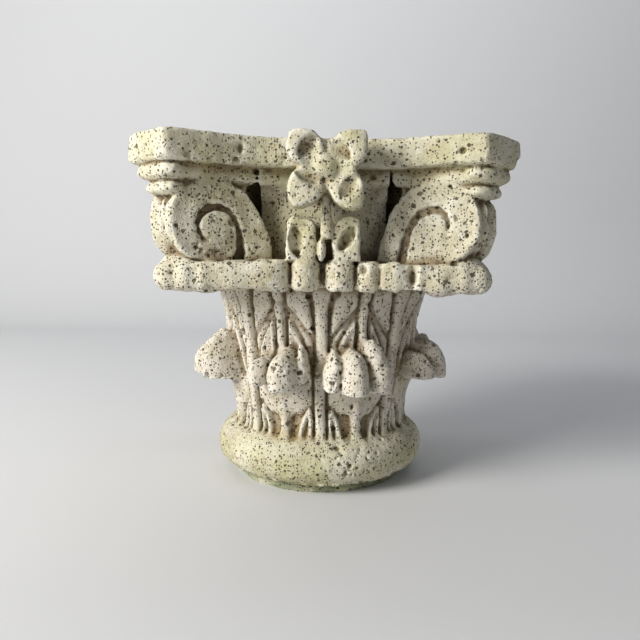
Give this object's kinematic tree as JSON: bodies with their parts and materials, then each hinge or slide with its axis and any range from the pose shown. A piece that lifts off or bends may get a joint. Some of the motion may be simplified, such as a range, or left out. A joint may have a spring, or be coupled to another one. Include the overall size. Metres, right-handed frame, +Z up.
{
  "type": "corinthian capital",
  "caption": "Carved-look cast stone column capital with acanthus leaves, corner volutes, concave abacus and side flowers on a round torus foot.",
  "frame": {"origin": "centre of the round underside of the foot", "axes": "+Z up the axis of the column; -Y is the side seen straight on, with one flower of the abacus; the cut corners of the abacus lie on the diagonals"},
  "size_m": [0.414, 0.414, 0.406],
  "materials": {
    "stone": "weathered open-pored pale limestone or cast stone, matt, with green algae low down and ochre stains in the hollows"
  },
  "bodies": {
    "root": {"capital": "stone"}
  },
  "joints": []
}
